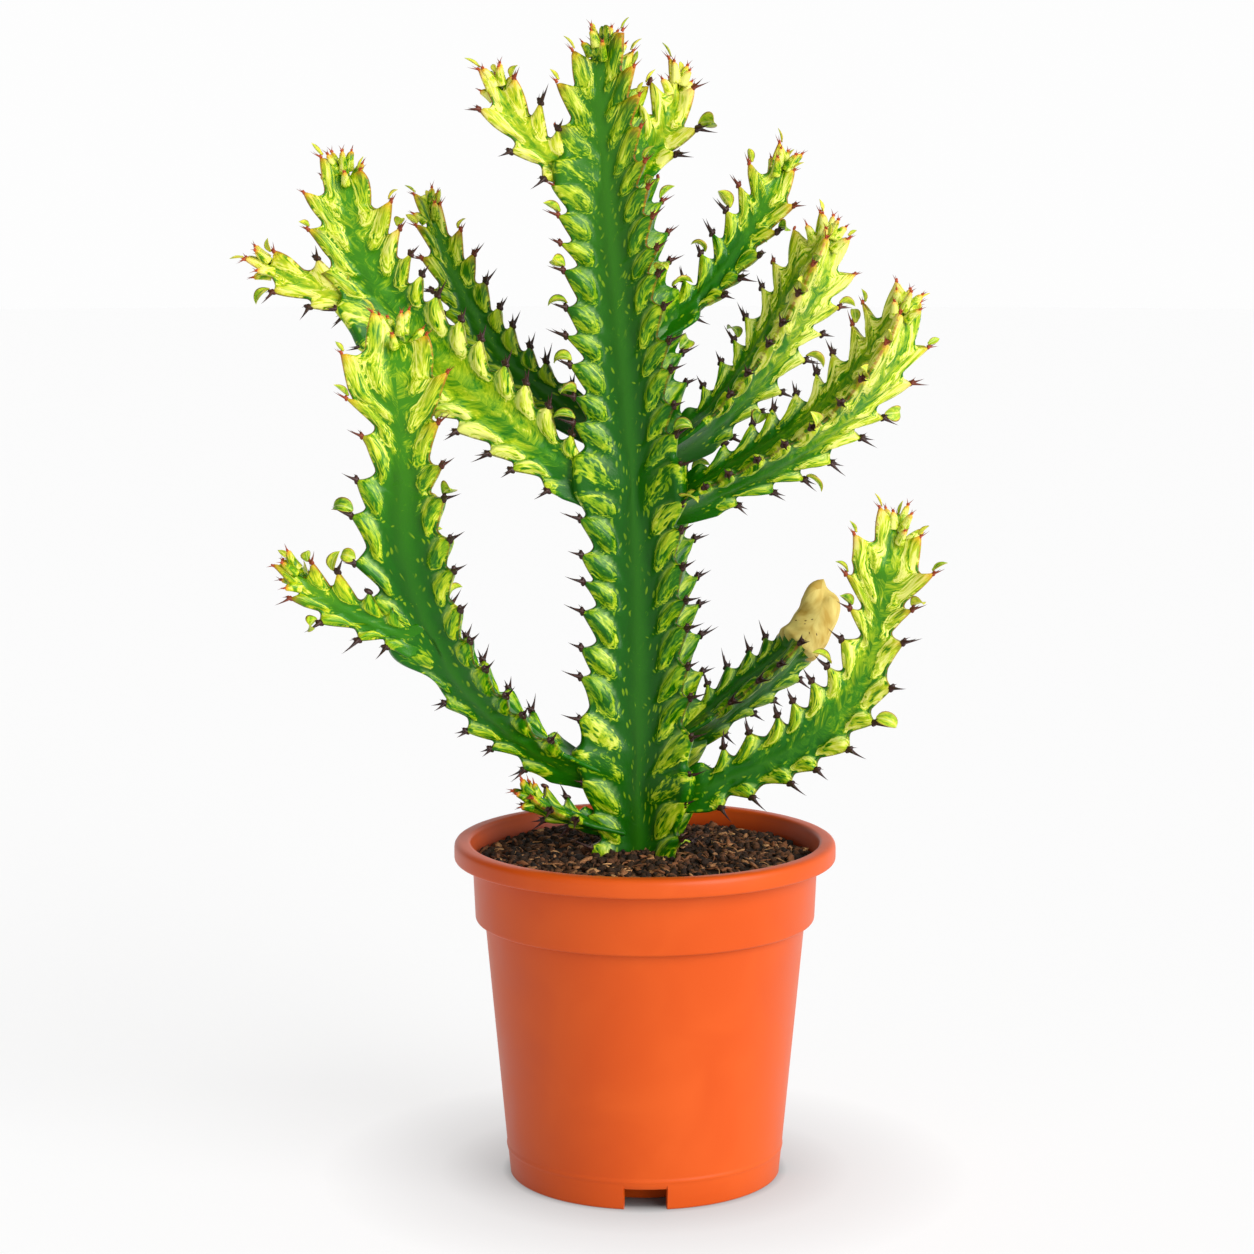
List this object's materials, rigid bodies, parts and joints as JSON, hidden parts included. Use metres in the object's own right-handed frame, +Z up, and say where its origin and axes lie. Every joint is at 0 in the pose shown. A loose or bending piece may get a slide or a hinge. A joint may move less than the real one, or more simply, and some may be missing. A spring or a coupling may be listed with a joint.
{
  "type": "potted euphorbia",
  "caption": "Upright winged and toothed succulent stem with upturned side branches, paired spines and small leaves, in soil in a round nursery pot with a rolled lip.",
  "frame": {"origin": "centre of the pot's flat underside", "axes": "+Z up along the main stem, -Y the front that the picture shows, +X to the right seen from the front"},
  "size_m": [0.3033, 0.17, 0.512],
  "materials": {
    "green_stem": "waxy satin skin, dark green with pale marbling",
    "variegated_stem": "waxy satin skin, green and lime-yellow marbling",
    "young_shoot": "waxy satin skin, yellow-green with reddish margins",
    "potting_soil": "loose dark peat with bark crumbs and fibres, matt",
    "pot_plastic": "terracotta orange injection-moulded plastic, satin"
  },
  "bodies": {
    "root": {"stem_main": "green_stem", "branch_left_low": "variegated_stem", "shoot_left_low": "young_shoot", "branch_left_high": "variegated_stem", "shoot_left_high": "young_shoot", "branch_left_back": "green_stem", "shoot_top_left": "young_shoot", "shoot_top_right": "young_shoot", "branch_right_top": "variegated_stem", "branch_right_upper": "variegated_stem", "branch_right_middle": "variegated_stem", "branch_right_low": "variegated_stem", "branch_right_withered": "green_stem", "shoot_foot_left": "green_stem", "potting_soil": "potting_soil", "pot": "pot_plastic"}
  },
  "joints": []
}
